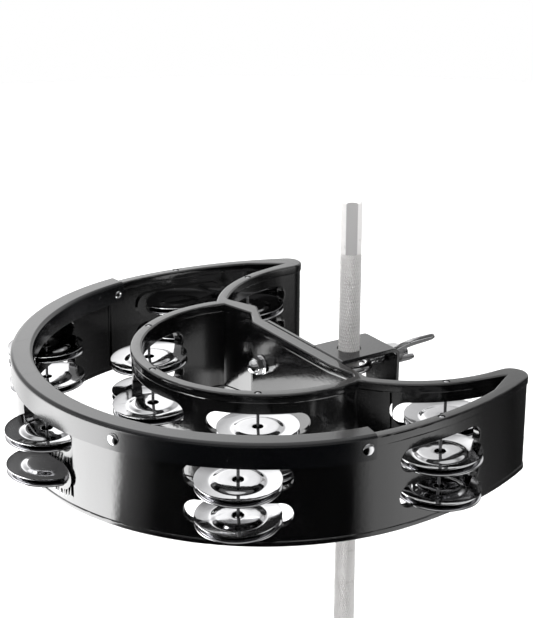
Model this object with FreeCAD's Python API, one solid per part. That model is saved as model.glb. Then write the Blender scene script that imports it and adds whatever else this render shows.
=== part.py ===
"""Crescent tambourine for a drum kit, clamped on a knurled accessory rod.

A moulded plastic frame of upright walls carries twenty pairs of steel jingles, two rows
of ten. A steel channel is riveted over the striking edge. A sheet steel bracket bolted to
the cross bar holds the rod with an eyebolt and a wing nut.

Plan sizes are worked in the moulding's own frame: the centre of the outer arc in plan,
+X along the cross bar, +Y towards the open side, Z = 0 at the bottom of the walls.
Every piece is then moved into the row's frame, whose origin is the rod's foot. Millimetres.
"""
import FreeCAD, Part
import math
import os

from FreeCAD import Vector

# ---------------------------------------------------------------- driving dimensions
# moulded frame
arc_radius = 125.0          # outer face of the striking wall
wall_height = 50.0
wall_thickness = 5.0
bead_proud = 0.5            # rounded lip along the top and bottom of each wall
top_bead_height = 5.0
bottom_bead_height = 3.0
horn_radius = 192.5         # flatter arc that carries the wall on into each horn
horn_face_radius = 68.0     # concave inner face of a horn, on the open side
horn_centre_x = 23.6        # centre of that concave arc
horn_centre_y = 72.1
horn_start_angle = -54.0    # where the concave wall leaves the loop
tip_radius = 7.6            # rounded end of a horn
loop_radius = 67.0          # outer face of the inner D-shaped loop
loop_end_angle = 14.5       # how far the loop runs past its half circle
bar_back_y = 18.6           # back face of the cross bar, where the bracket sits
bar_thickness = 6.8
bar_half_length = 30.4      # straight middle part of the cross bar
bar_front_end = 42.0        # its front is straight to here on the bracket's side
bar_straight_end = 57.0     # the back stays straight to here on the bracket's side
joggle_x = 48.0             # the shoulder where the bar steps out, on the other side
joggle_y = 26.5

# slots and jingles
slot_end_gap = 5.0          # between a jingle's rim and each end of its window
slot_height = 11.0
row_heights = {"lower": 16.0, "upper": 34.0}
jingle_radius = 20.0
jingle_hole_radius = 2.9
jingle_sheet = 0.6
boss_radius = 10.4
boss_height = 0.9
channel_radius = 13.2
rim_rise = 1.0              # how far the rim stands above the channel's floor
rim_roll = 0.3
pin_radius = 0.75
pin_hole_clearance = 0.05
pin_head_radius = 1.6
pin_head_height = 1.0
pin_foot = 4.0              # blind end of a pin's hole above the wall's bottom
rest_gap = 0.15             # between a jingle and what it rests on
rim_stations = (-99.0, -52.0, 0.0, 52.0, 99.0)    # degrees from the apex
loop_stations = (-55.0, 0.0, 55.0)
horn_station = -20.7        # degrees on the concave arc, from +X

# striking channel and its rivets
channel_sheet = 1.8
channel_half_span = 81.0    # degrees each side of the apex
channel_outer_skirt = 12.4
channel_inner_skirt = 10.9
channel_clearance = 0.1     # between the channel and the moulding
channel_inner_gap = 8.1     # room between the skirts
rivet_angles = (-79.0, -25.0, 25.0, 79.0)
rivet_radius = 1.5
rivet_drop = 6.4            # below the channel's top face
rivet_head_radius = 2.9
rivet_head_height = 1.2
rivet_tail_radius = 2.1
rivet_tail_height = 0.7
rivet_clearance = 0.05

# rod and bracket
rod_diameter = 10.5
rod_length = 250.0
rod_x = 29.0
rod_y = 32.7
hang_height = 122.0         # walls' bottom above the rod's foot
rod_edge = 1.0              # eased upper end
knurl_proud = 0.2           # crests of the knurl over the plain rod
plain_foot = 16.0           # unknurled ends
plain_top = 27.0
flat_width = 5.4
flat_angle = -33.0
bracket_sheet = 2.0
bracket_width = 26.0
bracket_height = 30.0
bracket_far_y = 55.0
bracket_bend = 4.0
bracket_foot_x = -28.0      # far end of the foot flange
rod_hole_clearance = 0.65
screw_left_x = -19.2
screw_right_x = 36.0
screw_drop = 21.0           # below the walls' top
screw_radius = 2.5
screw_clearance = 0.1
screw_head_radius = 4.6
screw_head_height = 2.6
washer_radius = 5.2
washer_thickness = 1.0
nut_flats = 8.0
nut_height = 4.0
dome_radius = 3.7
nut_bore_clearance = 0.05
screw_reach = 4.5           # of the screw inside the acorn nut

# eyebolt and wing nut
shank_drop = 9.0            # eyebolt's axis below the bracket's top face
eye_wire = 4.4
eye_slack = 1.15            # eye's inner radius over the knurl's
eye_seat_gap = 0.05
shank_radius = 2.95
shank_reach = 13.5          # past the bracket's web
shank_hole_clearance = 0.25
wing_bore_clearance = 0.05
wing_gap = 0.2
hub_radius = 6.2
hub_length = 8.0
wing_span = 28.0
wing_rise = 17.0             # of the wings past the hub
wing_thickness = 2.4
wing_angle = 45.0

# ---------------------------------------------------------------- worked-out sizes
wall_inner_radius = arc_radius - wall_thickness
slot_length = 2 * (jingle_radius + slot_end_gap)
horn_offset = horn_radius - arc_radius
horn_pin_radius = horn_face_radius + wall_thickness / 2
rim_pin_radius = arc_radius - wall_thickness / 2
loop_pin_radius = loop_radius - wall_thickness / 2
rod_radius = rod_diameter / 2
knurl_radius = rod_radius + knurl_proud
bar_front_y = bar_back_y - bar_thickness
bracket_near_x = rod_x - bracket_width / 2
bracket_top = wall_height
bracket_bottom = bracket_top - bracket_height
bracket_inner_y = bar_back_y + bracket_sheet
screw_z = wall_height - screw_drop
shank_z = bracket_top - shank_drop
eye_inner = knurl_radius + eye_slack
eye_centre_y = rod_y + eye_slack - eye_seat_gap
jingle_height = jingle_sheet + rim_rise + rim_roll
channel_outer_radius = arc_radius + bead_proud + channel_clearance + channel_sheet
channel_inner_radius = channel_outer_radius - 2 * channel_sheet - channel_inner_gap
channel_top = wall_height + channel_clearance + channel_sheet
rivet_z = channel_top - rivet_drop
row_origin = Vector(-rod_x, -rod_y, hang_height)
up = Vector(0, 0, 1)


def save(shape, name):
    """Move a piece into the row's frame and write it."""
    placed = shape.copy()
    placed.translate(row_origin)
    placed.exportStep("parts/" + name + ".step")


def polar(centre, radius, angle):
    turn = math.radians(angle)
    return Vector(centre.x + radius * math.cos(turn), centre.y + radius * math.sin(turn), 0)


def prism(points, bottom, top):
    """Upright prism on a closed outline of straight sides."""
    corners = [Vector(p[0], p[1], bottom) for p in points]
    outline = Part.makePolygon(corners + [corners[0]])
    return Part.Face(outline).extrude(Vector(0, 0, top - bottom))


def arc_wall(centre, inner, outer, start, end, bottom, top):
    """Upright wall that follows an arc about centre."""
    middle = (start + end) / 2
    ends = [polar(centre, outer, start), polar(centre, outer, end)]
    ends += [polar(centre, inner, end), polar(centre, inner, start)]
    sides = [
        Part.Arc(ends[0], polar(centre, outer, middle), ends[1]).toShape(),
        Part.LineSegment(ends[1], ends[2]).toShape(),
        Part.Arc(ends[2], polar(centre, inner, middle), ends[3]).toShape(),
        Part.LineSegment(ends[3], ends[0]).toShape(),
    ]
    wall = Part.Face(Part.Wire(sides)).extrude(Vector(0, 0, top - bottom))
    wall.translate(Vector(0, 0, bottom))
    return wall


def mirrored(shape):
    return shape.mirror(Vector(0, 0, 0), Vector(1, 0, 0))


def turned(points, axis_start, axis_direction):
    """Solid of revolution of a closed outline."""
    outline = Part.makePolygon(points + [points[0]])
    return Part.Face(outline).revolve(axis_start, axis_direction, 360)


# ---------------------------------------------------------------- moulded frame
def tip_centre():
    """Centre of the circle that rounds a horn's end, touching both of its walls."""
    x = horn_centre_x + horn_face_radius + tip_radius
    reach = horn_radius - tip_radius
    return Vector(x, math.sqrt(reach ** 2 - (x + horn_offset) ** 2), 0)


def walls(proud, bottom, top):
    """Every wall of the moulding over one stretch of height."""
    origin = Vector(0, 0, 0)
    horn_centre = Vector(horn_centre_x, horn_centre_y, 0)
    tip = tip_centre()
    outer_centre = Vector(-horn_offset, 0, 0)
    tip_turn = math.degrees(math.atan2(tip.y, tip.x + horn_offset))
    inner = wall_inner_radius - proud
    outer = arc_radius + proud
    striking = arc_wall(origin, inner, outer, 180, 360, bottom, top)
    loop = arc_wall(origin, loop_radius - wall_thickness - proud, loop_radius + proud,
                    180 - loop_end_angle, 360 + loop_end_angle, bottom, top)
    horn_outer = arc_wall(outer_centre, horn_radius - wall_thickness - proud,
                          horn_radius + proud, 0, tip_turn, bottom, top)
    horn_inner = arc_wall(horn_centre, horn_face_radius - proud,
                          horn_face_radius + wall_thickness + proud,
                          horn_start_angle, 0, bottom, top)
    face_x = horn_centre_x + horn_face_radius
    straight = prism([(face_x - proud, horn_centre_y), (face_x + wall_thickness + proud, horn_centre_y),
                      (face_x + wall_thickness + proud, tip.y), (face_x - proud, tip.y)], bottom, top)
    end = Part.makeCylinder(tip_radius + proud, top - bottom, Vector(tip.x, tip.y, bottom))
    half = [horn_outer, horn_inner, straight, end]
    pieces = [loop, cross_bar(proud, bottom, top)] + half + [mirrored(piece) for piece in half]
    return striking.multiFuse(pieces)


def cross_bar(proud, bottom, top):
    """Bar across the loop's open side: straight behind the bracket, stepped at the other end."""
    front = bar_front_y - proud
    step = joggle_x - bar_half_length
    end_x = loop_radius * math.cos(math.radians(loop_end_angle))
    end_y = loop_radius * math.sin(math.radians(loop_end_angle))
    back_side = [
        (end_x, end_y),
        (bar_straight_end, bar_back_y),
        (-bar_half_length, bar_back_y),
        (-joggle_x, joggle_y),
        (-end_x - 2, end_y + 2),
    ]
    front_side = [
        (-end_x + 4, end_y - 3.2 - proud),
        (-joggle_x - 2, joggle_y - 10.2 - proud),
        (-joggle_x + 6.7, joggle_y - 7.7 - proud),
        (-bar_half_length + 1.6 - step / 3, front + 3.6),
        (-bar_half_length + 1.6, front),
        (bar_front_end, front),
        (bar_straight_end, front + 3.2),
        (end_x - 4, end_y - 3.2 - proud),
    ]
    return prism(back_side + front_side, bottom, top)


def slot(centre, radius, angle, z):
    """Round-ended window through a wall, long side along the wall."""
    half = slot_length / 2 - slot_height / 2
    inward = wall_thickness / 2 + slot_length ** 2 / (8 * radius) + 2
    outward = wall_thickness / 2 + 3
    depth = inward + outward
    start = -inward
    middle = Part.makeBox(depth, 2 * half, slot_height, Vector(start, -half, -slot_height / 2))
    near = Part.makeCylinder(slot_height / 2, depth, Vector(start, -half, 0), Vector(1, 0, 0))
    far = Part.makeCylinder(slot_height / 2, depth, Vector(start, half, 0), Vector(1, 0, 0))
    window = middle.multiFuse([near, far])
    window.rotate(Vector(0, 0, 0), up, angle)
    window.translate(polar(centre, radius, angle) + Vector(0, 0, z))
    return window


def stations():
    """Name, arc centre, arc radius and direction of each pair of rows on the walls."""
    origin = Vector(0, 0, 0)
    places = []
    for number, turn in enumerate(rim_stations, 1):
        if abs(turn) > 90:
            # past the half circle the wall runs on the flatter arc of the horn
            side = 1 if turn > 0 else -1
            centre = Vector(-side * horn_offset, 0, 0)
            drop = math.asin(arc_radius * math.sin(math.radians(abs(turn) - 90)) / horn_radius)
            angle = math.degrees(drop) if side > 0 else 180 - math.degrees(drop)
            places.append(("rim_" + str(number), centre, horn_radius - wall_thickness / 2, angle))
        else:
            places.append(("rim_" + str(number), origin, rim_pin_radius, turn - 90))
    for number, turn in enumerate(loop_stations, 1):
        places.append(("loop_" + str(number), origin, loop_pin_radius, turn - 90))
    left = Vector(-horn_centre_x, horn_centre_y, 0)
    right = Vector(horn_centre_x, horn_centre_y, 0)
    places.append(("horn_left", left, horn_pin_radius, 180 - horn_station))
    places.append(("horn_right", right, horn_pin_radius, horn_station))
    return places


def pin_hole(place):
    """Blind hole for a jingle pin with a recess for its head."""
    x, y = place.x, place.y
    bore = Part.makeCylinder(pin_radius + pin_hole_clearance, wall_height, Vector(x, y, pin_foot))
    recess_depth = pin_head_height + 0.2
    recess = Part.makeCylinder(pin_head_radius + 0.2, recess_depth + 1,
                               Vector(x, y, wall_height - recess_depth))
    return bore.fuse(recess)


def radial_cylinder(radius, start, end, angle, z):
    """Cylinder lying along a radius of the outer arc."""
    body = Part.makeCylinder(radius, end - start, Vector(start, 0, z), Vector(1, 0, 0))
    body.rotate(Vector(0, 0, 0), up, angle)
    return body


def make_frame():
    """The moulding: walls, lips, rim seat, slots and every hole in it."""
    body = walls(0, 0, wall_height)
    top_lip = walls(bead_proud, wall_height - top_bead_height, wall_height)
    bottom_lip = walls(bead_proud, 0, bottom_bead_height)
    seat_bottom = channel_top - channel_inner_skirt + 0.4
    seat_inner = channel_inner_radius + channel_sheet + channel_clearance
    seat = arc_wall(Vector(0, 0, 0), seat_inner, arc_radius + bead_proud,
                    -90 - channel_half_span, -90 + channel_half_span, seat_bottom, wall_height)
    body = body.multiFuse([top_lip, bottom_lip, seat])
    cuts = []
    for name, centre, radius, angle in stations():
        for z in row_heights.values():
            cuts.append(slot(centre, radius, angle, z))
        cuts.append(pin_hole(polar(centre, radius, angle)))
    for angle in rivet_angles:
        cuts.append(radial_cylinder(rivet_radius + rivet_clearance, wall_inner_radius - 10,
                                    arc_radius + 5, angle - 90, rivet_z))
    for screw_x in (screw_left_x, screw_right_x):
        cuts.append(Part.makeCylinder(screw_radius + screw_clearance, bar_thickness + 6,
                                      Vector(screw_x, bar_front_y - 3, screw_z),
                                      Vector(0, 1, 0)))
    for cutter in cuts:
        body = body.cut(cutter)
    return body.removeSplitter()


# ---------------------------------------------------------------- striking channel
def make_strike_channel():
    """Steel channel over the striking edge: flat top, two skirts, rounded shoulders."""
    outer = channel_outer_radius
    inner = channel_inner_radius
    top = channel_top
    sheet = channel_sheet
    hollow = channel_clearance
    bend = sheet + hollow
    low_out = top - channel_outer_skirt
    low_in = top - channel_inner_skirt
    lean = math.sqrt(0.5)

    def at(radius, z):
        return Vector(radius, 0, z)

    def corner(radius, z, size, side):
        """Rounded shoulder: starts on the skirt, ends on the top."""
        start = at(radius, z - size)
        middle = at(radius - side * size * (1 - lean), z - size * (1 - lean))
        end = at(radius - side * size, z)
        return start, middle, end

    so, mo, eo = corner(outer, top, bend, 1)
    si, mi, ei = corner(inner, top, bend, -1)
    ho, hmo, heo = corner(outer - sheet, top - sheet, hollow, 1)
    hi, hmi, hei = corner(inner + sheet, top - sheet, hollow, -1)
    sides = [
        Part.LineSegment(at(outer, low_out), so),
        Part.Arc(so, mo, eo),
        Part.LineSegment(eo, ei),
        Part.Arc(ei, mi, si),
        Part.LineSegment(si, at(inner, low_in)),
        Part.LineSegment(at(inner, low_in), at(inner + sheet, low_in)),
        Part.LineSegment(at(inner + sheet, low_in), hi),
        Part.Arc(hi, hmi, hei),
        Part.LineSegment(hei, heo),
        Part.Arc(heo, hmo, ho),
        Part.LineSegment(ho, at(outer - sheet, low_out)),
        Part.LineSegment(at(outer - sheet, low_out), at(outer, low_out)),
    ]
    section = Part.Face(Part.Wire([side.toShape() for side in sides]))
    section.rotate(Vector(0, 0, 0), up, -90 - channel_half_span)
    channel = section.revolve(Vector(0, 0, 0), up, 2 * channel_half_span)
    for angle in rivet_angles:
        hole = radial_cylinder(rivet_radius + rivet_clearance, inner - 5, outer + 5, angle - 90, rivet_z)
        channel = channel.cut(hole)
    return channel


def make_rivet(angle):
    """Rivet through both skirts: domed head outside, flared tail inside."""
    inner = math.sqrt(channel_inner_radius ** 2 - rivet_tail_radius ** 2)
    outer = channel_outer_radius
    shoulder = rivet_head_height * 0.55
    outline = [
        Vector(inner - rivet_tail_height, 0, 0),
        Vector(inner - rivet_tail_height, 0, rivet_tail_radius * 0.6),
        Vector(inner - rivet_tail_height / 2, 0, rivet_tail_radius),
        Vector(inner, 0, rivet_tail_radius),
        Vector(inner, 0, rivet_radius),
        Vector(outer, 0, rivet_radius),
        Vector(outer, 0, rivet_head_radius),
        Vector(outer + shoulder, 0, rivet_head_radius * 0.82),
        Vector(outer + rivet_head_height, 0, rivet_head_radius * 0.35),
        Vector(outer + rivet_head_height, 0, 0),
    ]
    rivet = turned(outline, Vector(0, 0, 0), Vector(1, 0, 0))
    rivet.rotate(Vector(0, 0, 0), up, angle - 90)
    rivet.translate(Vector(0, 0, rivet_z))
    return rivet


# ---------------------------------------------------------------- jingles and pins
def make_pin(place):
    """Wire pin with a flat head, standing in its wall through both rows."""
    foot = pin_foot + 0.2
    wire_top = wall_height - pin_head_height
    wire = Part.makeCylinder(pin_radius, wire_top - foot, Vector(place.x, place.y, foot))
    head = Part.makeCylinder(pin_head_radius, pin_head_height, Vector(place.x, place.y, wire_top))
    return wire.fuse(head)


def make_jingle():
    """Pressed disc, dish upwards: flat boss, channel round it, flared rim."""
    t = jingle_sheet
    boss = boss_height
    rim = rim_rise
    outline = [
        Vector(jingle_hole_radius, 0, boss),
        Vector(boss_radius - 0.2, 0, boss),
        Vector(channel_radius - 0.6, 0, 0),
        Vector(channel_radius + 0.2, 0, 0),
        Vector(jingle_radius - 0.7, 0, rim),
        Vector(jingle_radius, 0, rim + rim_roll),
        Vector(jingle_radius, 0, rim + rim_roll + t),
        Vector(jingle_radius - 0.9, 0, rim + t),
        Vector(channel_radius + 0.1, 0, t),
        Vector(channel_radius - 0.4, 0, t),
        Vector(boss_radius, 0, boss + t),
        Vector(jingle_hole_radius, 0, boss + t),
    ]
    return turned(outline, Vector(0, 0, 0), up)


def tilt_of(number, row):
    """How a loose pair lies on its pin: droop away from the arc's centre, and roll."""
    phase = 2.4 * number + (1.3 if row == "upper" else 0.0)
    droop = 2.2 + 2.2 * math.sin(phase)
    roll = 1.6 * math.cos(1.7 * phase)
    return droop, roll


def make_jingle_pair(number, centre, radius, angle, row):
    """Both discs of a pair, backs together, resting on the slot's lower edge."""
    droop, roll = tilt_of(number, row)
    lean = jingle_radius * math.sin(math.radians(abs(roll)))
    lean += (wall_thickness / 2 + 0.5) * math.sin(math.radians(abs(droop)))
    floor = row_heights[row] - slot_height / 2
    middle = floor + rest_gap + jingle_height + rest_gap / 2 + lean
    top = make_jingle()
    top.translate(Vector(0, 0, rest_gap / 2))
    bottom = top.mirror(Vector(0, 0, 0), up)
    placed = []
    for disc in (bottom, top):
        disc.rotate(Vector(0, 0, 0), Vector(0, 1, 0), droop)
        disc.rotate(Vector(0, 0, 0), Vector(1, 0, 0), roll)
        disc.rotate(Vector(0, 0, 0), up, angle)
        disc.translate(polar(centre, radius, angle) + Vector(0, 0, middle))
        placed.append(disc)
    return placed


# ---------------------------------------------------------------- rod and bracket
def make_rod():
    """Straight accessory rod: knurled between two plain ends, a flat on the upper one."""
    middle = Vector(rod_x, rod_y, -hang_height)
    outline = [
        Vector(0, 0, 0),
        Vector(rod_radius, 0, 0),
        Vector(rod_radius, 0, plain_foot),
        Vector(knurl_radius, 0, plain_foot),
        Vector(knurl_radius, 0, rod_length - plain_top),
        Vector(rod_radius, 0, rod_length - plain_top),
        Vector(rod_radius, 0, rod_length - rod_edge),
        Vector(rod_radius - rod_edge, 0, rod_length),
        Vector(0, 0, rod_length),
    ]
    rod = turned(outline, Vector(0, 0, 0), up)
    depth = rod_radius - math.sqrt(rod_radius ** 2 - (flat_width / 2) ** 2)
    flat_bottom = rod_length - plain_top
    cutter = Part.makeBox(rod_radius, rod_diameter, plain_top,
                          Vector(rod_radius - depth, -rod_radius, flat_bottom))
    cutter.rotate(Vector(0, 0, 0), up, flat_angle)
    rod = rod.cut(cutter)
    rod.translate(middle)
    return rod


def make_bracket():
    """Bent sheet box open at both ends, with a foot flange along the cross bar."""
    near = bar_back_y
    far = bracket_far_y
    low = bracket_bottom
    high = bracket_top

    def box_tube(inset):
        bend = bracket_bend - inset
        block = Part.makeBox(bracket_width, far - near - 2 * inset, high - low - 2 * inset,
                             Vector(bracket_near_x, near + inset, low + inset))
        edges = [edge for edge in block.Edges
                 if abs(edge.BoundBox.XLength - bracket_width) < 0.001
                 and edge.BoundBox.YMin > far - inset - 1]
        return block.makeFillet(bend, edges)

    body = box_tube(0).cut(box_tube(bracket_sheet))
    foot = Part.makeBox(bracket_near_x - bracket_foot_x + 1, bracket_sheet, bracket_height,
                        Vector(bracket_foot_x, near, low))
    body = body.fuse(foot)
    rod_hole = Part.makeCylinder(knurl_radius + rod_hole_clearance, bracket_height + 2,
                                 Vector(rod_x, rod_y, low - 1))
    body = body.cut(rod_hole)
    shank_hole = Part.makeCylinder(shank_radius + shank_hole_clearance, bracket_sheet + 2,
                                   Vector(rod_x, far - bracket_sheet - 1, shank_z), Vector(0, 1, 0))
    body = body.cut(shank_hole)
    for screw_x in (screw_left_x, screw_right_x):
        hole = Part.makeCylinder(screw_radius + screw_clearance, bracket_sheet + 2,
                                 Vector(screw_x, near - 1, screw_z), Vector(0, 1, 0))
        body = body.cut(hole)
    return body.removeSplitter()


def make_screw(x):
    """Pan-head screw through the flange, the bar and the washer into the acorn nut."""
    seat = bracket_inner_y
    tail = bar_front_y - washer_thickness - screw_reach
    head_corner = 0.8
    outline = [
        Vector(0, tail, 0),
        Vector(screw_radius - 0.4, tail, 0),
        Vector(screw_radius, tail + 0.4, 0),
        Vector(screw_radius, seat, 0),
        Vector(screw_head_radius, seat, 0),
        Vector(screw_head_radius, seat + screw_head_height - head_corner, 0),
        Vector(screw_head_radius - head_corner, seat + screw_head_height, 0),
        Vector(0, seat + screw_head_height, 0),
    ]
    screw = turned(outline, Vector(0, 0, 0), Vector(0, 1, 0))
    cross = Part.makeBox(4.6, 1.4, 0.9, Vector(-2.3, seat + screw_head_height - 1.4, -0.45))
    upright = Part.makeBox(0.9, 1.4, 4.6, Vector(-0.45, seat + screw_head_height - 1.4, -2.3))
    screw = screw.cut(cross).cut(upright)
    screw.translate(Vector(x, 0, screw_z))
    return screw


def make_washer(x):
    bore = screw_radius + screw_clearance
    start = Vector(x, bar_front_y - washer_thickness, screw_z)
    disc = Part.makeCylinder(washer_radius, washer_thickness, start, Vector(0, 1, 0))
    return disc.cut(Part.makeCylinder(bore, washer_thickness, start, Vector(0, 1, 0)))


def make_acorn_nut(x):
    """Hexagon base with a closed dome, bored for the screw."""
    seat = bar_front_y - washer_thickness
    corner = nut_flats / 2 / math.cos(math.radians(30))
    points = [Vector(corner * math.cos(math.radians(60 * k)), seat, corner * math.sin(math.radians(60 * k)))
              for k in range(6)]
    hexagon = Part.Face(Part.makePolygon(points + [points[0]])).extrude(Vector(0, -nut_height, 0))
    dome = Part.makeSphere(dome_radius, Vector(0, seat - nut_height, 0))
    neck = Part.makeCylinder(nut_flats / 2, 1.2, Vector(0, seat - nut_height, 0), Vector(0, -1, 0))
    nut = hexagon.multiFuse([dome, neck])
    bore = Part.makeCylinder(screw_radius + nut_bore_clearance, screw_reach + 0.5,
                             Vector(0, seat, 0), Vector(0, -1, 0))
    nut = nut.cut(bore)
    nut.translate(Vector(x, 0, screw_z))
    return nut


# ---------------------------------------------------------------- eyebolt and wing nut
def make_eyebolt():
    """Eye round the rod on a shank that passes out through the bracket's web."""
    ring_radius = eye_inner + eye_wire / 2
    centre = Vector(rod_x, eye_centre_y, shank_z)
    eye = Part.makeTorus(ring_radius, eye_wire / 2, centre)
    start = eye_centre_y + ring_radius
    end = bracket_far_y + shank_reach
    shank = Part.makeCylinder(shank_radius, end - start, Vector(rod_x, start, shank_z), Vector(0, 1, 0))
    neck = Part.makeCone(eye_wire / 2, shank_radius, eye_wire / 2,
                         Vector(rod_x, start - 0.2, shank_z), Vector(0, 1, 0))
    window = Part.makeCylinder(eye_inner, 2 * shank_radius + 2,
                               Vector(rod_x, eye_centre_y, shank_z - shank_radius - 1))
    return eye.multiFuse([shank, neck]).cut(window).removeSplitter()


def make_wing_nut():
    """Tapered hub with two flared wings, threaded for the shank."""
    seat = bracket_far_y + wing_gap
    hub = Part.makeCone(hub_radius, hub_radius * 0.82, hub_length,
                        Vector(0, seat, 0), Vector(0, 1, 0))
    reach = wing_span / 2
    top = seat + hub_length + wing_rise
    root = seat + 1.2
    outline = [
        (hub_radius * 0.5, root),
        (hub_radius * 0.95, root),
        (reach * 0.8, root + 4.2),
        (reach, root + 8.2),
        (reach, top - 2.0),
        (reach - 1.6, top),
        (reach - 4.6, top - 0.8),
        (hub_radius * 0.75, seat + hub_length),
        (hub_radius * 0.5, seat + hub_length),
    ]
    wings = []
    for side in (-1, 1):
        corners = [Vector(side * x, y, -wing_thickness / 2) for x, y in outline]
        face = Part.Face(Part.makePolygon(corners + [corners[0]]))
        wings.append(face.extrude(Vector(0, 0, wing_thickness)))
    bore = Part.makeCylinder(shank_radius + wing_bore_clearance, hub_length + 2,
                             Vector(0, seat - 1, 0), Vector(0, 1, 0))
    nut = hub.multiFuse(wings).cut(bore).removeSplitter()
    nut.rotate(Vector(0, 0, 0), Vector(0, 1, 0), -wing_angle)
    nut.translate(Vector(rod_x, 0, shank_z))
    return nut


# ---------------------------------------------------------------- assembly
def build():
    os.makedirs("parts", exist_ok=True)
    screw_places = (screw_left_x, screw_right_x)
    pin_places = [polar(centre, radius, angle) for name, centre, radius, angle in stations()]
    save(make_frame(), "frame")
    save(make_strike_channel(), "strike_channel")
    save(Part.makeCompound([make_rivet(angle) for angle in rivet_angles]), "channel_rivets")
    save(Part.makeCompound([make_pin(place) for place in pin_places]), "jingle_pins")
    save(make_rod(), "rod")
    save(make_bracket(), "bracket")
    save(Part.makeCompound([make_screw(x) for x in screw_places]), "bracket_screws")
    save(Part.makeCompound([make_washer(x) for x in screw_places]), "bracket_washers")
    save(Part.makeCompound([make_acorn_nut(x) for x in screw_places]), "acorn_nuts")
    save(make_eyebolt(), "eyebolt")
    save(make_wing_nut(), "wing_nut")
    for number, (name, centre, radius, angle) in enumerate(stations()):
        for row in row_heights:
            pair = make_jingle_pair(number, centre, radius, angle, row)
            save(pair[0], "jingle_" + name + "_" + row + "_bottom")
            save(pair[1], "jingle_" + name + "_" + row + "_top")


build()
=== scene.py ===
import math

import bpy
from mathutils import Matrix, Vector


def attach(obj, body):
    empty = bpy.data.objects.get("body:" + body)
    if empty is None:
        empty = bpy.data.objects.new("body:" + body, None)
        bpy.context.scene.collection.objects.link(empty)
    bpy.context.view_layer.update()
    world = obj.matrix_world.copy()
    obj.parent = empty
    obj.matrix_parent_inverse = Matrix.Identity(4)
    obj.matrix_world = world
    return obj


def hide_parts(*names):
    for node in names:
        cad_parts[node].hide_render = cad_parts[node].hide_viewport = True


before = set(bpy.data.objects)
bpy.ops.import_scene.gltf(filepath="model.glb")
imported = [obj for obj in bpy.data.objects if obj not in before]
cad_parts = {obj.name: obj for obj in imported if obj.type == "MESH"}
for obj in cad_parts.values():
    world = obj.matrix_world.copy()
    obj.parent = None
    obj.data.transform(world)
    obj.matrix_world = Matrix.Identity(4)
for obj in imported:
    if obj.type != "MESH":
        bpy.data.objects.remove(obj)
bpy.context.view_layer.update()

# ---------------------------------------------------------------- studio
# A pale matt floor under a plain room of soft light. Shiny parts see a white backdrop behind,
# one soft panel at the left and a narrow one at the right, and a dim room elsewhere.
# The camera looks down on the tambourine from the side of its open horns.
CAMERA_PLACE = (0.6858, -0.4929, 0.5062)
CAMERA_BEARING, CAMERA_DOWN, CAMERA_LEAN = 57.12, 20.38, 0.154
MIDDLE = Vector((-0.03, -0.06, 0.14))
ROOM_MIDDLE = (-0.03, -0.05, 0.15)
FLOOR_RADIUS, FLOOR_DROP = 1.35, 0.0005
LOW_STRENGTH, TOP_STRENGTH = 7.5, 0.75
CAMERA_LIGHT, SPREAD_LIGHT = 1.0, 0.6

camera = bpy.data.objects.new("camera", bpy.data.cameras.new("camera"))
bpy.context.scene.collection.objects.link(camera)
camera.data.lens = 104.85
camera.data.sensor_width = 36
camera.matrix_world = (
    Matrix.Translation(CAMERA_PLACE)
    @ Matrix.Rotation(math.radians(CAMERA_BEARING), 4, "Z")
    @ Matrix.Rotation(math.radians(90 - CAMERA_DOWN), 4, "X")
    @ Matrix.Rotation(math.radians(CAMERA_LEAN), 4, "Z")
)
bpy.context.scene.camera = camera
bpy.context.scene.view_settings.view_transform = "Standard"

# compass bearing from +X and height of what a shiny surface sees, and how bright it is there
room = bpy.data.node_groups.new("room", "ShaderNodeTree")
room.interface.new_socket("Direction", in_out="INPUT", socket_type="NodeSocketVector")
room.interface.new_socket("Brightness", in_out="OUTPUT", socket_type="NodeSocketFloat")
room_in = room.nodes.new("NodeGroupInput")
room_out = room.nodes.new("NodeGroupOutput")
parts = room.nodes.new("ShaderNodeSeparateXYZ")
room.links.new(room_in.outputs["Direction"], parts.inputs[0])


def step_of(tree, kind, first, second=None, third=None):
    """One sum of a node tree: its inputs are numbers or other nodes' outputs."""
    node = tree.nodes.new("ShaderNodeMath")
    node.operation = kind
    for socket, value in zip(node.inputs, (first, second, third)):
        if value is None:
            continue
        if isinstance(value, (int, float)):
            socket.default_value = value
        else:
            tree.links.new(value, socket)
    return node.outputs[0]


def ramp_of(tree, value, stops, smooth="LINEAR"):
    """A value looked up on a row of (place, brightness) stops."""
    ramp = tree.nodes.new("ShaderNodeValToRGB")
    ramp.color_ramp.interpolation = smooth
    marks = ramp.color_ramp.elements
    while len(marks) < len(stops):
        marks.new(0.5)
    for mark, (place, shade) in zip(marks, stops):
        mark.position = place
        mark.color = (shade, shade, shade, 1)
    tree.links.new(value, ramp.inputs[0])
    return ramp.outputs[0]


flat = step_of(room, "SQRT", step_of(room, "ADD", step_of(room, "POWER", parts.outputs[0], 2),
                                     step_of(room, "POWER", parts.outputs[1], 2)))
bearing = step_of(room, "ARCTAN2", parts.outputs[1], parts.outputs[0])
turn = step_of(room, "MULTIPLY_ADD", bearing, 1 / (2 * math.pi), 0.5)
climb = step_of(room, "ARCTAN2", parts.outputs[2], flat)
height = step_of(room, "MULTIPLY_ADD", climb, 1 / math.pi, 0.5)


def at_turn(degrees):
    """Where a compass bearing lies on a ramp."""
    return degrees / 360 + 0.5


def at_height(degrees):
    """Where a height above the horizon lies on a ramp."""
    return degrees / 180 + 0.5


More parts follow.
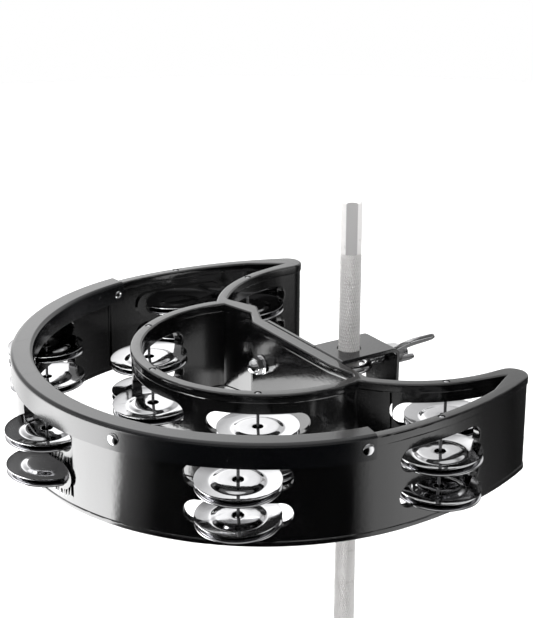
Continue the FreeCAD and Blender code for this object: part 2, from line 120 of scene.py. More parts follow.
low_band = ramp_of(room, turn, [
    (at_turn(-180), 0.2), (at_turn(-150), 0.34), (at_turn(-127), 0.92), (at_turn(-93), 0.98),
    (at_turn(-90.5), 0.08), (at_turn(-74), 0.0), (at_turn(4), 0.0), (at_turn(12), 0.13),
    (at_turn(25), 0.17), (at_turn(37), 0.18), (at_turn(48), 0.06), (at_turn(57), 0.02),
    (at_turn(72), 0.005), (at_turn(110), 0.03), (at_turn(150), 0.1), (at_turn(180), 0.2)])
high_band = ramp_of(room, turn, [
    (at_turn(-180), 0.8), (at_turn(-110), 0.6), (at_turn(-85), 0.1), (at_turn(-60), 0.3),
    (at_turn(0), 0.3), (at_turn(40), 0.05), (at_turn(80), 0.3), (at_turn(105), 1.1),
    (at_turn(130), 0.9), (at_turn(139), 0.8), (at_turn(145), 1.3), (at_turn(155), 2.1),
    (at_turn(168), 1.9), (at_turn(180), 0.8)])
top_band = ramp_of(room, height, [
    (at_height(0), 0.0), (at_height(48), 0.0), (at_height(56), 1.0), (at_height(90), 1.0)])
up_mask = ramp_of(room, height, [(at_height(-3), 0.0), (at_height(3), 1.0)])
back_mask = ramp_of(room, height, [
    (at_height(0), 1.0), (at_height(38), 1.0), (at_height(50), 0.25), (at_height(90), 0.2)])
down_mask = step_of(room, "MULTIPLY", LOW_STRENGTH, step_of(room, "SUBTRACT", 1.0, up_mask))
low = step_of(room, "MULTIPLY", low_band, down_mask)
high = step_of(room, "MULTIPLY", step_of(room, "MULTIPLY", high_band, back_mask), up_mask)
over = step_of(room, "MULTIPLY", top_band, TOP_STRENGTH)
bright = step_of(room, "ADD", step_of(room, "ADD", low, high), over)
room.links.new(bright, room_out.inputs["Brightness"])

world = bpy.data.worlds.new("studio")
bpy.context.scene.world = world
world.use_nodes = True
tree = world.node_tree
sky = tree.nodes["Background"]
sky.inputs["Strength"].default_value = 1
looked = tree.nodes.new("ShaderNodeGroup")
looked.node_tree = room
place = tree.nodes.new("ShaderNodeTexCoord")
tree.links.new(place.outputs["Generated"], looked.inputs["Direction"])
path = tree.nodes.new("ShaderNodeLightPath")
strength = tree.nodes.new("ShaderNodeMix")
tree.links.new(path.outputs["Is Glossy Ray"], strength.inputs["Factor"])
plain = step_of(tree, "MULTIPLY_ADD", path.outputs["Is Camera Ray"],
                CAMERA_LIGHT - SPREAD_LIGHT, SPREAD_LIGHT)
tree.links.new(plain, strength.inputs["A"])
tree.links.new(looked.outputs["Brightness"], strength.inputs["B"])
tree.links.new(strength.outputs["Result"], sky.inputs["Color"])

bpy.ops.mesh.primitive_circle_add(vertices=96, radius=FLOOR_RADIUS, fill_type="NGON",
                                  location=(0, 0, -FLOOR_DROP))
floor = bpy.context.object
floor.name = "floor"
paper = bpy.data.materials.new("white_paper")
paper.use_nodes = True
tree = paper.node_tree
matt = tree.nodes["Principled BSDF"]
matt.inputs["Base Color"].default_value = (0.9, 0.9, 0.9, 1)
matt.inputs["Roughness"].default_value = 0.9
matt.inputs["Specular IOR Level"].default_value = 0.0
looked = tree.nodes.new("ShaderNodeGroup")
looked.node_tree = room
place = tree.nodes.new("ShaderNodeNewGeometry")
away = tree.nodes.new("ShaderNodeVectorMath")
away.operation = "SUBTRACT"
away.inputs[1].default_value = ROOM_MIDDLE
tree.links.new(place.outputs["Position"], away.inputs[0])
tree.links.new(away.outputs["Vector"], looked.inputs["Direction"])
glow = tree.nodes.new("ShaderNodeEmission")
tree.links.new(looked.outputs["Brightness"], glow.inputs["Color"])
path = tree.nodes.new("ShaderNodeLightPath")
either = tree.nodes.new("ShaderNodeMixShader")
tree.links.new(path.outputs["Is Glossy Ray"], either.inputs[0])
tree.links.new(matt.outputs[0], either.inputs[1])
tree.links.new(glow.outputs[0], either.inputs[2])
tree.links.new(either.outputs[0], tree.nodes["Material Output"].inputs["Surface"])
floor.data.materials.append(paper)

for name, spot, size, power in (
    ("lamp_left", (-0.55, -1.0, 0.9), 0.9, 16),
    ("lamp_over", (-0.2, 0.2, 1.5), 1.4, 24),
    ("lamp_front", (1.1, -0.2, 1.3), 0.9, 12),
):
    lamp = bpy.data.objects.new(name, bpy.data.lights.new(name, "AREA"))
    bpy.context.scene.collection.objects.link(lamp)
    lamp.data.shape = "DISK"
    lamp.data.size = size
    lamp.data.energy = power
    lamp.location = spot
    lamp.rotation_euler = (MIDDLE - Vector(spot)).to_track_quat("-Z", "Y").to_euler()
    lamp.visible_glossy = False
    lamp.visible_camera = False


# ---------------------------------------------------------------- moulded frame
# One black plastic moulding: upright walls 5 mm thick and 50 mm tall, with a rounded lip at the
# top and bottom edge and round-ended windows for two rows of jingles. The sizes are millimetres
# about the striking arc's centre, +X along the cross bar and +Y towards the open side.
ARC, WALL, TALL = 125.0, 5.0, 50.0
MIDDLE_OF_WALL = WALL / 2
# the arcs that the walls follow: centre of the right-hand one, and radius to the side away from the hollow
HORN_CENTRE, HORN = (-67.5, 0), 192.5
FACE_CENTRE, FACE = (23.6, 72.1), 68.0
LOOP = 62.0
TIP, TIP_RADIUS, TIP_TURN = (99.2, 79.99), 7.6, 25.63
HORN_APEX, HOLLOW_TURN = (98.8, 78), 18.66
BAR_BACK = 18.6
LIP_PROUD, LIP_DEEP, FOOT_LIP_DEEP = 0.5, 5, 3
WINDOW_CORE, WINDOW_END, WINDOW_ROUNDING = 19.5, 5.5, 0.8
ROW_HEIGHTS = {"lower": 16, "upper": 34}
CHANNEL_START, CHANNEL_SWEEP = -171, 162
CHANNEL_END = CHANNEL_START + CHANNEL_SWEEP
RECESS, RECESS_DEEP = 1.8, 1.2
ON_ROD = (-0.029, -0.0327, 0.122)


def arc(centre, radius, start, end, pitch=1.0):
    """Points along an arc, both ends included."""
    count = max(2, round(abs(end - start) / pitch))
    turns = [math.radians(start + (end - start) * k / count) for k in range(count + 1)]
    return [(centre[0] + radius * math.cos(t), centre[1] + radius * math.sin(t)) for t in turns]


def flipped(points):
    """The same outline on the other side, walked the same way round."""
    return [(-x, y) for x, y in reversed(points)]


def pick(piece):
    """Only this piece is selected, and it is the one that tools work on."""
    bpy.ops.object.select_all(action="DESELECT")
    piece.select_set(True)
    bpy.context.view_layer.objects.active = piece


def tidied(piece, gap=0.0004):
    """Meeting points become one, and every face looks outwards."""
    pick(piece)
    bpy.ops.object.mode_set(mode="EDIT")
    bpy.ops.mesh.select_all(action="SELECT")
    bpy.ops.mesh.remove_doubles(threshold=gap)
    bpy.ops.mesh.normals_make_consistent(inside=False)
    bpy.ops.object.mode_set(mode="OBJECT")
    return piece


def plate(name, outlines, bottom, top, edge=0.0, rounds=2):
    """A flat piece sawn to closed outlines, holes among them, with its edges rounded over."""
    shape = bpy.data.curves.new(name, "CURVE")
    shape.dimensions = "2D"
    shape.fill_mode = "BOTH"
    for outline in outlines:
        line = shape.splines.new("POLY")
        line.points.add(len(outline) - 1)
        for point, (x, y) in zip(line.points, outline):
            point.co = (x, y, 0, 1)
        line.use_cyclic_u = True
    shape.extrude = (top - bottom) / 2 - edge
    shape.bevel_depth = edge
    shape.bevel_resolution = rounds
    shape.offset = -edge
    piece = bpy.data.objects.new(name, shape)
    bpy.context.scene.collection.objects.link(piece)
    pick(piece)
    bpy.ops.object.convert(target="MESH")
    piece = bpy.context.object
    piece.data.transform(Matrix.Translation((0, 0, (bottom + top) / 2)))
    return tidied(piece)


def worked(piece, kind, **settings):
    """A modifier set up and applied."""
    pick(piece)
    tool = piece.modifiers.new(kind.lower(), kind)
    for setting, value in settings.items():
        setattr(tool, setting, value)
    bpy.ops.object.modifier_apply(modifier=tool.name)
    return piece


def combined(piece, other, operation):
    """Joins another solid to a piece, or cuts it away."""
    worked(piece, "BOOLEAN", operation=operation, solver="EXACT", object=other)
    bpy.data.objects.remove(other)
    return piece


def gathered(name, pieces):
    """Like pieces that share one node."""
    pick(pieces[0])
    for piece in pieces:
        piece.select_set(True)
    if len(pieces) > 1:
        bpy.ops.object.join()
    pieces[0].name = name
    return pieces[0]


def smoothed(piece, degrees):
    """Shaded smooth, but for edges sharper than an angle."""
    pick(piece)
    bpy.ops.object.shade_smooth_by_angle(angle=math.radians(degrees))
    return worked(piece, "WEIGHTED_NORMAL", mode="FACE_AREA", keep_sharp=True)


def outer_side(proud, bar_back):
    """Round the outside of the crescent: rim, horns, tips, horn faces and the bar's back."""
    def half(bar_end_y):
        stop = -math.degrees(math.asin((FACE_CENTRE[1] - bar_end_y) / (FACE - proud)))
        rim = arc((0, 0), ARC + proud, -90, 0)
        horn = arc(HORN_CENTRE, HORN + proud, 0, TIP_TURN)
        tip = arc(TIP, TIP_RADIUS + proud, TIP_TURN, 180, 6)
        face = arc(FACE_CENTRE, FACE - proud, 0, stop)
        return rim[:-1] + horn[:-1] + tip + face

    bar = [(57, bar_back), (-30.4, bar_back), (-48, 26.5)]
    return half(BAR_BACK) + bar + flipped(half(19.07 + 0.42 * proud))[:-1]


def loop_side(proud):
    """Inside the D-shaped loop: the arc and the stepped front of the cross bar."""
    drop = 0.68 * proud
    bar = [(-60.47 + 0.84 * proud, 13.68 - drop - 0.06 * proud), (-50, 16.3 - proud),
           (-41.3, 18.8 - proud), (-34.67, 15.4 - proud), (-28.8, 11.8 - proud), (42, 11.8 - proud),
           (57, 15 - proud), (60.47 - 0.88 * proud, 13.73 - drop)]
    begin = -180 - math.degrees(math.atan2(bar[0][1], -bar[0][0]))
    end = math.degrees(math.atan2(bar[-1][1], bar[-1][0]))
    arch = arc((0, 0), LOOP - proud, begin, end, 2)
    return arch[1:-1] + list(reversed(bar))


def hollow_side(proud):
    """Inside the crescent, between the rim, the horns and the loop."""
    rim = arc((0, 0), ARC - WALL - proud, -90, 0)
    horn = arc(HORN_CENTRE, HORN - WALL - proud, 0, HOLLOW_TURN)
    face = arc(FACE_CENTRE, FACE + WALL + proud, -9.5, -54.7)
    half = rim[:-1] + horn + [(HORN_APEX[0], HORN_APEX[1] - 2 * proud)] + face
    loop = arc((0, 0), LOOP + WALL + proud, 10.8, -90, 2)
    return half + loop[1:-1] + flipped(half + loop[1:])[:-1]


def stations():
    """Name, arc centre, radius to the wall's middle and bearing of each pair of rows."""
    on_horn, on_face = HORN - MIDDLE_OF_WALL, FACE + MIDDLE_OF_WALL
    slant = math.degrees(math.asin(ARC * math.sin(math.radians(9)) / HORN))
    yield "rim_1", (-HORN_CENTRE[0], HORN_CENTRE[1]), on_horn, 180 - slant
    for number, bearing in ((2, -142), (3, -90), (4, -38)):
        yield f"rim_{number}", (0, 0), ARC - MIDDLE_OF_WALL, bearing
    yield "rim_5", HORN_CENTRE, on_horn, slant
    for number, bearing in ((1, -145), (2, -90), (3, -35)):
        yield f"loop_{number}", (0, 0), LOOP + MIDDLE_OF_WALL, bearing
    yield "horn_left", (-FACE_CENTRE[0], FACE_CENTRE[1]), on_face, 180 + 20.7
    yield "horn_right", FACE_CENTRE, on_face, -20.7


def spot_of(centre, radius, bearing):
    """Where a station's pin stands, on the bench."""
    turn = math.radians(bearing)
    return Vector((centre[0] + radius * math.cos(turn), centre[1] + radius * math.sin(turn), 0))


def window(centre, radius, bearing, z):
    """Cutter for a window 50 by 11 mm that follows its curved wall, with both rims rounded."""
    ring = []
    for side in (1, -1):
        end = arc((0, 0), WINDOW_END, -90 * side, 180 - 90 * side, 15)
        ring += [(side * WINDOW_CORE + y, v) for y, v in end]
        ring += [(side * WINDOW_CORE * (1 - k / 8), side * WINDOW_END) for k in range(1, 16)]
    # depth from the wall's middle and how far the opening is flared there
    layers = [(-MIDDLE_OF_WALL - 1.5, 1.4)]
    for turn in (0, 30, 60, 90):
        t = math.radians(turn)
        layers.append((-MIDDLE_OF_WALL + WINDOW_ROUNDING * (1 - math.cos(t)),
                       WINDOW_ROUNDING * (1 - math.sin(t))))
    layers += [(-depth, flare) for depth, flare in reversed(layers)]
    bpy.ops.mesh.primitive_circle_add(vertices=len(ring), fill_type="NGON")
    piece = bpy.context.object
    pick(piece)
    bpy.ops.object.mode_set(mode="EDIT")
    for _ in layers[1:]:
        bpy.ops.mesh.extrude_region()
    bpy.ops.object.mode_set(mode="OBJECT")
    count = len(ring)
    for number, vertex in enumerate(piece.data.vertices):
        depth, flare = layers[number // count]
        y, v = ring[number % count]
        core = max(-WINDOW_CORE, min(WINDOW_CORE, y))
        length = math.hypot(y - core, v)
        grow = (length + flare) / length
        y, v = core + (y - core) * grow, v * grow
        vertex.co = (math.sqrt((radius + depth) ** 2 - y * y), y, v)
    # placed in one step: two roundings of its points are enough to spoil the cut
    moved(piece, shift(centre[0], centre[1], z) @ spin_about("Z", bearing))
    return worked(tidied(piece), "TRIANGULATE")


def turned(name, section, sweep=360, count=48, start=0):
    """A closed section of (radius, height) points, spun about the Z axis."""
    bpy.ops.mesh.primitive_circle_add(vertices=len(section))
    piece = bpy.context.object
    piece.name = name
    turn = math.radians(start)
    for vertex, (radius, high) in zip(piece.data.vertices, section):
        vertex.co = (radius * math.cos(turn), radius * math.sin(turn), high)
    pick(piece)
    bpy.ops.object.mode_set(mode="EDIT")
    bpy.ops.mesh.select_all(action="SELECT")
    if sweep < 360:
        bpy.ops.mesh.edge_face_add()
    bpy.ops.mesh.spin(steps=count, angle=-math.radians(sweep), center=(0, 0, 0), axis=(0, 0, 1))
    bpy.ops.object.mode_set(mode="OBJECT")
    return tidied(piece)


def round_bar(radius, bottom, top, count=32):
    """A plain round bar that stands on the Z axis."""
    return turned("round_bar", [(0, bottom), (radius, bottom), (radius, top), (0, top)], count=count)


def moved(piece, *steps):
    """Turns and shifts a piece in its mesh, first step first."""
    for step in steps:
        piece.data.transform(step)
    piece.data.update()
    return piece


def shift(x, y, z):
    """A step of moved that slides a piece."""
    return Matrix.Translation((x, y, z))


def spin_about(axis, degrees):
    """A step of moved that turns a piece about an axis of the bench."""
    return Matrix.Rotation(math.radians(degrees), 4, axis)


def on_rod(piece, finish, body, slot, *nodes):
    """From the bench's millimetres to its place on the rod, on its body and in its finish."""
    moved(piece, Matrix.Scale(0.001, 4), shift(*ON_ROD))
    piece.data.materials.clear()
    piece.data.materials.append(finish)
    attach(piece, body)
    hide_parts(*nodes)


# what handling leaves on any finish: broad smudges, fine grain and hairline marks
handling = bpy.data.node_groups.new("handling", "ShaderNodeTree")
for socket, kind in (("Place", "NodeSocketVector"), ("Grain Scale", "NodeSocketFloat"),
                     ("Smudge Scale", "NodeSocketFloat"), ("Mark Scale", "NodeSocketFloat")):
    handling.interface.new_socket(socket, in_out="INPUT", socket_type=kind)
for socket in ("Smudge", "Grain", "Marks"):
    handling.interface.new_socket(socket, in_out="OUTPUT", socket_type="NodeSocketFloat")
entry = handling.nodes.new("NodeGroupInput")
leave = handling.nodes.new("NodeGroupOutput")


def noise_of(tree, place, scale, detail, stretch=None):
    """A soft noise, or with a stretch one drawn out into slanting lines."""
    if stretch:
        mapped = tree.nodes.new("ShaderNodeMapping")
        mapped.inputs["Scale"].default_value = stretch
        mapped.inputs["Rotation"].default_value = (0.4, 0.7, 0.5)
        tree.links.new(place, mapped.inputs["Vector"])
        place = mapped.outputs["Vector"]
    noise = tree.nodes.new("ShaderNodeTexNoise")
    noise.inputs["Detail"].default_value = detail
    tree.links.new(place, noise.inputs["Vector"])
    tree.links.new(scale, noise.inputs["Scale"])
    return noise.outputs[0]


smudge = noise_of(handling, entry.outputs["Place"], entry.outputs["Smudge Scale"], 3)
grain = noise_of(handling, entry.outputs["Place"], entry.outputs["Grain Scale"], 2)
lines = noise_of(handling, entry.outputs["Place"], entry.outputs["Mark Scale"], 1, (1, 0.04, 0.3))
handling.links.new(ramp_of(handling, smudge, [(0.3, 0), (0.7, 1)], "EASE"), leave.inputs["Smudge"])
handling.links.new(grain, leave.inputs["Grain"])
handling.links.new(ramp_of(handling, lines, [(0.70, 0), (0.76, 1)]), leave.inputs["Marks"])


def finish_of(name, colour, marked, metal, rough, smudge_rough, grain, sizes, specular=0.5):
    """A shiny finish: colour and roughness change with handling, and grain lifts the surface.

    grain is its scale and strength, and sizes are the scales of smudges and of hairline marks.
    """
    finish = bpy.data.materials.new(name)
    finish.use_nodes = True
    tree = finish.node_tree
    shader = tree.nodes["Principled BSDF"]
    shader.inputs["Metallic"].default_value = metal
    shader.inputs["Specular IOR Level"].default_value = specular
    place = tree.nodes.new("ShaderNodeTexCoord")
    wear = tree.nodes.new("ShaderNodeGroup")
    wear.node_tree = handling
    wear.inputs["Grain Scale"].default_value = grain[0]
    wear.inputs["Smudge Scale"].default_value = sizes[0]
    wear.inputs["Mark Scale"].default_value = sizes[1]
    tree.links.new(place.outputs["Object"], wear.inputs["Place"])
    tint = tree.nodes.new("ShaderNodeMix")
    tint.data_type = "RGBA"
    tint.inputs["A"].default_value = (*colour, 1)
    tint.inputs["B"].default_value = (*marked, 1)
    amount = step_of(tree, "MULTIPLY_ADD", wear.outputs["Smudge"], 0.35,
                     step_of(tree, "MULTIPLY", wear.outputs["Marks"], 0.6))
    tree.links.new(amount, tint.inputs["Factor"])
    tree.links.new(tint.outputs["Result"], shader.inputs["Base Color"])
    dulled = step_of(tree, "MULTIPLY_ADD", wear.outputs["Smudge"], smudge_rough, rough)
    roughness = step_of(tree, "ADD", dulled,
                        step_of(tree, "MULTIPLY", wear.outputs["Marks"], smudge_rough))
    tree.links.new(roughness, shader.inputs["Roughness"])
    bump = tree.nodes.new("ShaderNodeBump")
    bump.inputs["Strength"].default_value = grain[1]
    bump.inputs["Distance"].default_value = 0.001
    tree.links.new(wear.outputs["Grain"], bump.inputs["Height"])
    tree.links.new(bump.outputs["Normal"], shader.inputs["Normal"])
    return finish


black_plastic = finish_of("black_plastic", (0.0015, 0.0015, 0.0016), (0.003, 0.003, 0.0032),
                          0.0, 0.09, 0.07, grain=(420, 0.03), sizes=(18, 300), specular=1.0)
walls = [outer_side(0, BAR_BACK - 0.02), loop_side(0), hollow_side(0)]
lips = [outer_side(LIP_PROUD, BAR_BACK), loop_side(LIP_PROUD), hollow_side(LIP_PROUD)]
moulding = plate("crescent_moulding", walls, 0.5, TALL - 0.5)
combined(moulding, plate("top_lip", lips, TALL - LIP_DEEP, TALL, 1.1), "UNION")
combined(moulding, plate("bottom_lip", lips, 0, FOOT_LIP_DEEP, 0.9), "UNION")
seat = arc((0, 0), 125.45, CHANNEL_START, CHANNEL_END)
seat += reversed(arc((0, 0), 117.6, CHANNEL_START, CHANNEL_END))
combined(moulding, plate("channel_seat", [seat], 41.4, TALL - 0.1), "UNION")
windows = [window(centre, radius, bearing, z)
           for name, centre, radius, bearing in stations() for z in ROW_HEIGHTS.values()]
combined(moulding, gathered("windows", windows), "DIFFERENCE")
recesses = [moved(round_bar(RECESS, TALL - RECESS_DEEP, TALL + 2, 24),
                  shift(*spot_of(centre, radius, bearing)))
            for name, centre, radius, bearing in stations()]
combined(moulding, gathered("recesses", recesses), "DIFFERENCE")
smoothed(tidied(moulding), 30)
on_rod(moulding, black_plastic, "tambourine", "moulded_plastic", "frame")


# ---------------------------------------------------------------- striking channel
# Pressed steel channel that wraps the striking edge: a flat top 12 mm wide, two skirts and rounded
# shoulders, lacquered satin black. Four rivets hold it through the moulding's thick edge.
black_lacquer = finish_of("black_lacquer", (0.0016, 0.0018, 0.0023), (0.004, 0.0043, 0.005),
                          0.0, 0.15, 0.08, grain=(1500, 0.03), sizes=(22, 340), specular=0.8)
OUT, IN, TOP, SHEET = 127.4, 115.7, 51.9, 1.8
OUTER_SKIRT, INNER_SKIRT, SHOULDER = 12.4, 10.9, 2.2
out_bend, in_bend = (OUT - SHOULDER, TOP - SHOULDER), (IN + SHOULDER, TOP - SHOULDER)
section = [(OUT, TOP - OUTER_SKIRT)]
section += arc(out_bend, SHOULDER, 0, 90, 11)
section += arc(in_bend, SHOULDER, 90, 180, 11)
section += [(IN, TOP - INNER_SKIRT), (IN + SHEET, TOP - INNER_SKIRT)]
section += arc(in_bend, SHOULDER - SHEET, 180, 90, 30)
section += arc(out_bend, SHOULDER - SHEET, 90, 0, 30)
section += [(OUT - SHEET, TOP - OUTER_SKIRT)]
channel = turned("strike_rim", section, CHANNEL_SWEEP, CHANNEL_SWEEP, CHANNEL_START)
worked(channel, "BEVEL", width=0.28, segments=2, limit_method="ANGLE", angle_limit=math.radians(50))
smoothed(channel, 30)
on_rod(channel, black_lacquer, "tambourine", "channel_steel", "strike_channel")


# ---------------------------------------------------------------- channel rivets
# Four plated tubular rivets through the channel's skirts and the moulding: a low domed head
# outside and a rolled, open tail inside.
bright_plate = finish_of("bright_plate", (0.74, 0.74, 0.75), (0.5, 0.5, 0.51), 1.0, 0.07, 0.1,
                         grain=(1800, 0.03), sizes=(120, 700))
HEAD, SHANK, TAIL = 2.9, 1.5, 2.1
RIVET_HEIGHT = 45.5
tail = math.sqrt(IN ** 2 - TAIL ** 2)
section = [(0, OUT + 1.2)]
section += [(HEAD * math.sin(math.radians(t)), OUT + 0.2 + math.cos(math.radians(t)))
            for t in (15, 30, 45, 60, 75, 88)]
section += [(HEAD, OUT - 0.1), (SHANK, OUT - 0.1), (SHANK, tail + 0.05), (1.95, tail + 0.05),
            (TAIL, tail - 0.25), (1.9, tail - 0.58), (1.5, tail - 0.7), (1.15, tail - 0.45),
            (1.0, tail), (0.95, tail + 3), (0, tail + 3)]
rivets = [moved(turned("rivet", section, count=32), spin_about("Y", 90),
                spin_about("Z", bearing), shift(0, 0, RIVET_HEIGHT))
          for bearing in (-169, -115, -65, -11)]
rivets = smoothed(gathered("rivets", rivets), 40)
on_rod(rivets, bright_plate, "tambourine", "hardware_chrome", "channel_rivets")


# ---------------------------------------------------------------- jingle pins
# Ten wire pins of 1.5 mm plated steel pushed down through the walls. Each carries both rows of
# its station, and its small domed head lies in a recess in the wall's top edge.
drawn_wire = finish_of("drawn_wire", (0.42, 0.42, 0.43), (0.2, 0.2, 0.2), 1.0, 0.2, 0.2,
                       grain=(2500, 0.05), sizes=(200, 900))
PIN, PIN_HEAD, PIN_FOOT = 0.75, 1.6, 4.2
section = [(0, TALL)]
section += [(PIN_HEAD * math.sin(math.radians(t)), 49.15 + 0.85 * math.cos(math.radians(t)))
            for t in (20, 40, 60, 80)]
section += [(PIN_HEAD, 49.0), (PIN, 48.95), (PIN, 4.4), (0.6, PIN_FOOT), (0, PIN_FOOT)]
pins = [moved(turned("pin", section, count=20), shift(*spot_of(centre, radius, bearing)))
        for name, centre, radius, bearing in stations()]
pins = smoothed(gathered("pins", pins), 40)
on_rod(pins, drawn_wire, "tambourine", "pin_steel", "jingle_pins")


# ---------------------------------------------------------------- jingles
# Forty pressed steel discs of 40 mm, mirror plated, loose on the pins in pairs back to back: a flat
# boss with a wide hole, a channel round it and a dish that rises to a rolled rim. Each pair droops
# and leans a little differently, as it comes to rest.
mirror_plate = finish_of("mirror_plate", (0.56, 0.56, 0.57), (0.44, 0.44, 0.45), 1.0, 0.04, 0.07,
                         grain=(160, 0.05), sizes=(70, 420))
HALF_SHEET, HALF_PAIR, REST_GAP, PRESSED_APART = 0.3, 1.9, 0.225, 0.075
JINGLE = 20.0
profile = [(2.9, 1.08), (3.1, 1.2), (5.0, 1.23), (8.6, 1.23), (9.9, 1.2), (10.3, 1.13),
           (10.8, 0.97), (11.4, 0.74), (12.1, 0.47), (12.6, 0.35), (13.0, 0.305), (13.4, 0.3),
           (14.0, 0.36), (15.0, 0.5), (16.4, 0.72), (17.8, 0.97), (19.0, 1.22), (19.6, 1.38),
           (JINGLE, 1.6)]
faces = []
for near, here, far in zip([profile[0]] + profile, profile, profile[1:] + [profile[-1]]):
    along = Vector((far[0] - near[0], far[1] - near[1])).normalized()
    faces.append((Vector(here), Vector((-along.y, along.x)) * HALF_SHEET))
upper = [tuple(spot + out) for spot, out in faces]
under = [tuple(spot - out) for spot, out in faces]
rim_roll = [(JINGLE, 1.82), (JINGLE + 0.05, 1.6), (JINGLE - 0.05, 1.42)]
disc = turned("disc", upper[:-1] + rim_roll + list(reversed(under[:-1])), count=96)
smoothed(disc, 50)
for number, (name, centre, radius, bearing) in enumerate(stations()):
    for row, row_height in ROW_HEIGHTS.items():
        phase = 2.4 * number + (1.3 if row == "upper" else 0)
        droop = 2.2 + 2.2 * math.sin(phase)
        roll = 1.6 * math.cos(1.7 * phase)
        lean = JINGLE * math.sin(math.radians(abs(roll))) + 3 * math.sin(math.radians(abs(droop)))
        lift = row_height - WINDOW_END + REST_GAP + HALF_PAIR + lean
        lies = (shift(*spot_of(centre, radius, bearing)) @ shift(0, 0, lift)
                @ spin_about("Z", bearing) @ spin_about("X", roll) @ spin_about("Y", droop))
        for side, turnover in (("bottom", 180), ("top", 0)):
            copy = disc.copy()
            copy.data = disc.data.copy()
            bpy.context.scene.collection.objects.link(copy)
            copy.name = f"disc_{name}_{row}_{side}"
            moved(copy, spin_about("Z", 70 * number), shift(0, 0, PRESSED_APART),
                  spin_about("X", turnover), lies)
            node = f"jingle_{name}_{row}_{side}"
            on_rod(copy, mirror_plate, node, "jingle_chrome", node)
bpy.data.objects.remove(disc)


# ---------------------------------------------------------------- accessory rod
# Plated steel rod of 10.5 mm, 250 mm long. Its middle is rolled with a diamond knurl, and its plain
# upper end has a milled flat for the grip of another clamp.
ROD_X, ROD_Y, FOOT = 29.0, 32.7, -122.0
ROD, ROD_LONG, PLAIN_FOOT, PLAIN_TOP = 5.25, 250, 16, 27
PEAK, VALLEY = 5.45, 5.06
FLAT_BEARING, FLAT_WIDE = -33, 5.4
STARTS, ROWS = 30, 110
rod_plate = finish_of("rod_plate", (0.66, 0.65, 0.645), (0.52, 0.51, 0.505), 0.0, 0.5, 0.1,
                      grain=(2200, 0.05), sizes=(90, 800), specular=0.12)
# in metres up the finished rod, and out from its axis: where the knurl ends and the flat begins
KNURL_LOW, KNURL_HIGH, FLAT_OUT = 0.0162, 0.2228, 0.0044
tree = rod_plate.node_tree
shader = tree.nodes["Principled BSDF"]
where = tree.nodes.new("ShaderNodeSeparateXYZ")
tree.links.new(tree.nodes["Texture Coordinate"].outputs["Object"], where.inputs[0])
knurled = step_of(tree, "MULTIPLY", step_of(tree, "GREATER_THAN", where.outputs["Z"], KNURL_LOW),
                  step_of(tree, "LESS_THAN", where.outputs["Z"], KNURL_HIGH))
tree.links.new(step_of(tree, "MULTIPLY", knurled, 0.38), shader.inputs["Metallic"])
# Painted shade: the base colour is darker on the milled flat. This stands in for how light falls on that
# face; the flat itself is cut in the mesh below.
flat_turn = math.radians(FLAT_BEARING)
out = step_of(tree, "ADD", step_of(tree, "MULTIPLY", where.outputs["X"], math.cos(flat_turn)),
              step_of(tree, "MULTIPLY", where.outputs["Y"], math.sin(flat_turn)))
milled = step_of(tree, "MULTIPLY", step_of(tree, "GREATER_THAN", out, FLAT_OUT),
                 step_of(tree, "GREATER_THAN", where.outputs["Z"], KNURL_HIGH))
painted_flat_shade = tree.nodes.new("ShaderNodeMix")
painted_flat_shade.data_type = "RGBA"
painted_flat_shade.inputs["B"].default_value = (0.36, 0.355, 0.355, 1)
tree.links.new(milled, painted_flat_shade.inputs["Factor"])
tree.links.new(shader.inputs["Base Color"].links[0].from_socket, painted_flat_shade.inputs["A"])
tree.links.new(painted_flat_shade.outputs["Result"], shader.inputs["Base Color"])


def knurled_rod():
    """Rings of points up the rod: in the knurl every second point is a diamond's peak."""
    bottom, top, end = FOOT + PLAIN_FOOT, FOOT + ROD_LONG - PLAIN_TOP, FOOT + ROD_LONG
    rings = [(FOOT, 4.95, 4.95), (FOOT + 0.3, ROD, ROD), (bottom - 0.3, ROD, ROD)]
    pitch = (top - bottom) / ROWS
    for row in range(ROWS + 1):
        peak = PEAK if 0 < row < ROWS else ROD
        rings.append((bottom + row * pitch, *((peak, VALLEY) if row % 2 else (VALLEY, peak))))
    rings += [(top + 0.3, ROD, ROD), (end - 1, ROD, ROD), (end - 0.3, 4.9, 4.9), (end, 4.3, 4.3)]
    count = 2 * STARTS
    points = []
    for z, *radius in rings:
        for k in range(count):
            turn = math.tau * k / count
            points.append((radius[k % 2] * math.cos(turn), radius[k % 2] * math.sin(turn), z))
    faces = []
    for ring in range(len(rings) - 1):
        for k in range(count):
            a, b = ring * count + k, ring * count + (k + 1) % count
            c, d = b + count, a + count
            if rings[ring][1 + k % 2] > rings[ring][2 - k % 2]:
                faces += [(a, b, d), (b, c, d)]
            else:
                faces += [(a, b, c), (a, c, d)]
    faces.append(tuple(reversed(range(count))))
    faces.append(tuple(range((len(rings) - 1) * count, len(rings) * count)))
    mesh = bpy.data.meshes.new("knurled_rod")
    mesh.from_pydata(points, [], faces)
    piece = bpy.data.objects.new("knurled_rod", mesh)
    bpy.context.scene.collection.objects.link(piece)
    return piece


rod = knurled_rod()
bpy.ops.mesh.primitive_cube_add(size=1)
mill = bpy.context.object
flat_out = math.sqrt(ROD ** 2 - (FLAT_WIDE / 2) ** 2)
moved(mill, Matrix.Diagonal((10, 20, 40, 1)),
      shift(flat_out + 5, 0, FOOT + ROD_LONG - PLAIN_TOP + 20), spin_about("Z", FLAT_BEARING))
combined(rod, mill, "DIFFERENCE")
smoothed(tidied(moved(rod, shift(ROD_X, ROD_Y, 0)), 0.0001), 12)
on_rod(rod, rod_plate, "rod", "rod_steel", "rod")


